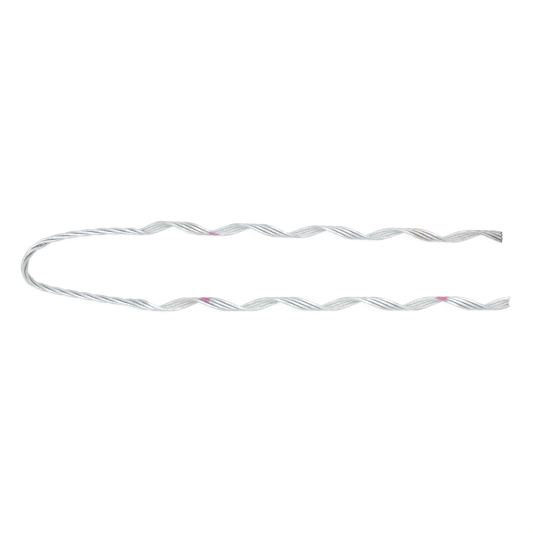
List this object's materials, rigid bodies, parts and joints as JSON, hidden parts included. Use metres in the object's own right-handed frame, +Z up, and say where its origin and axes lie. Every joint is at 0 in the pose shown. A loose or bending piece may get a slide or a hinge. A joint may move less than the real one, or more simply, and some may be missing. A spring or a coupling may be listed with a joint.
{
  "type": "guy grip dead-end",
  "caption": "Preformed guy grip dead-end: galvanised steel rods laid up as a strand round a loop, then opened side by side into wound gripping legs lined with grit.",
  "frame": {"origin": "middle of the laid-up strand at the crown of the loop", "axes": "+X from the loop along the legs, +Y across to the left leg, +Z up out of the plane that the grip lies in"},
  "size_m": [0.5501, 0.1227, 0.0164],
  "materials": {
    "galvanised_steel": "hot-dip galvanised, bright to dull grey",
    "bonded_grit": "light grey abrasive grit held in adhesive"
  },
  "bodies": {
    "root": {"rod_1": "galvanised_steel", "rod_2": "galvanised_steel", "rod_3": "galvanised_steel", "rod_4": "galvanised_steel", "left_grit_lining": "bonded_grit", "right_grit_lining": "bonded_grit"}
  },
  "joints": []
}
